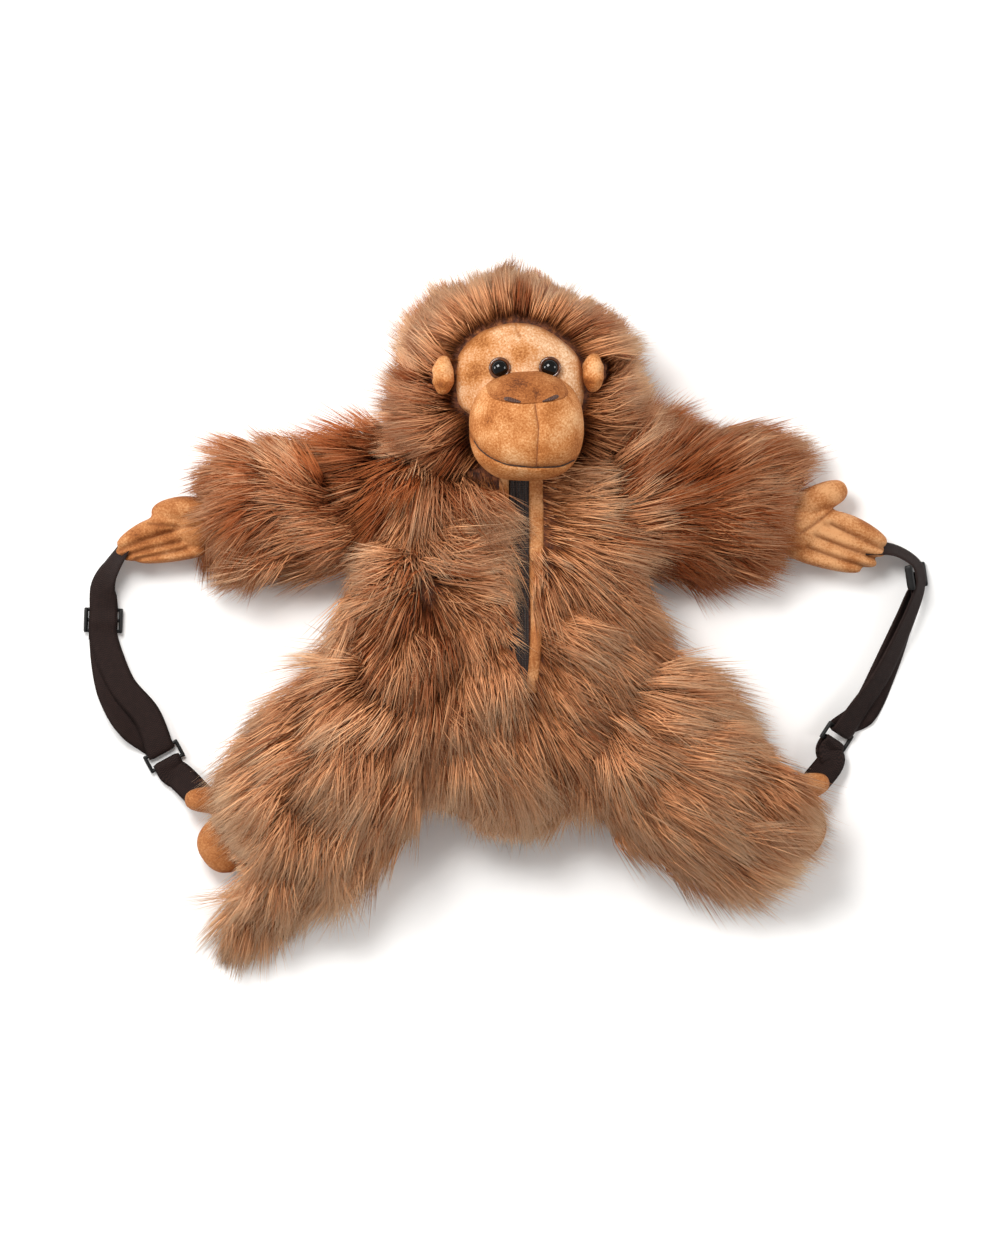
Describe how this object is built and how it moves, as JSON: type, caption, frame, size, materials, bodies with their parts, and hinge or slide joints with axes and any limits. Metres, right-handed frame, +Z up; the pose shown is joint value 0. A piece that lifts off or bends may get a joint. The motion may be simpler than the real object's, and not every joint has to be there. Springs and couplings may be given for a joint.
{
  "type": "monkey backpack",
  "caption": "Furry monkey-shaped soft backpack lying on its back, with a velour face, a zip down the belly and webbing straps from hands to feet.",
  "frame": {"origin": "on the surface the part lies on, at the middle of the flat underside of the torso", "axes": "+X from the hand at the left of the picture to the hand at its right, +Y from the crotch to the crown, +Z up out of the face and belly"},
  "size_m": [0.5948, 0.4964, 0.144],
  "materials": {
    "fur": "long-pile brown fur cloth with paler tips",
    "velour": "short-pile tan velour",
    "nose_velour": "short-pile brown velour",
    "thread": "dark brown embroidery thread",
    "eye_brown": "polished brown plastic",
    "black_gloss": "polished black plastic",
    "black_plastic": "satin black plastic",
    "zip_tape": "dark brown ribbed zip tape",
    "webbing": "dark brown woven webbing"
  },
  "bodies": {
    "root": {"torso": "fur", "head": "fur", "face": "velour", "muzzle_left": "velour", "muzzle_right": "velour", "lower_lip": "velour", "nose": "nose_velour", "nostril_left": "thread", "nostril_right": "thread", "ear_left": "velour", "ear_right": "velour", "eye_rim_left": "eye_brown", "eye_rim_right": "eye_brown", "eye_left": "black_gloss", "eye_right": "black_gloss", "arm_left": "fur", "arm_right": "fur", "hand_left": "velour", "hand_right": "velour", "leg_left": "fur", "leg_right": "fur", "foot_left": "velour", "foot_right": "velour", "tail": "fur", "zip_tape": "zip_tape", "zip_chain": "zip_tape", "zip_slider": "black_plastic", "placket_left": "velour", "placket_right": "velour", "strap_left": "webbing", "strap_right": "webbing", "slider_left": "black_plastic", "slider_right": "black_plastic", "ring_left": "black_plastic", "ring_right": "black_plastic", "tab_left": "webbing", "tab_right": "webbing"}
  },
  "joints": []
}
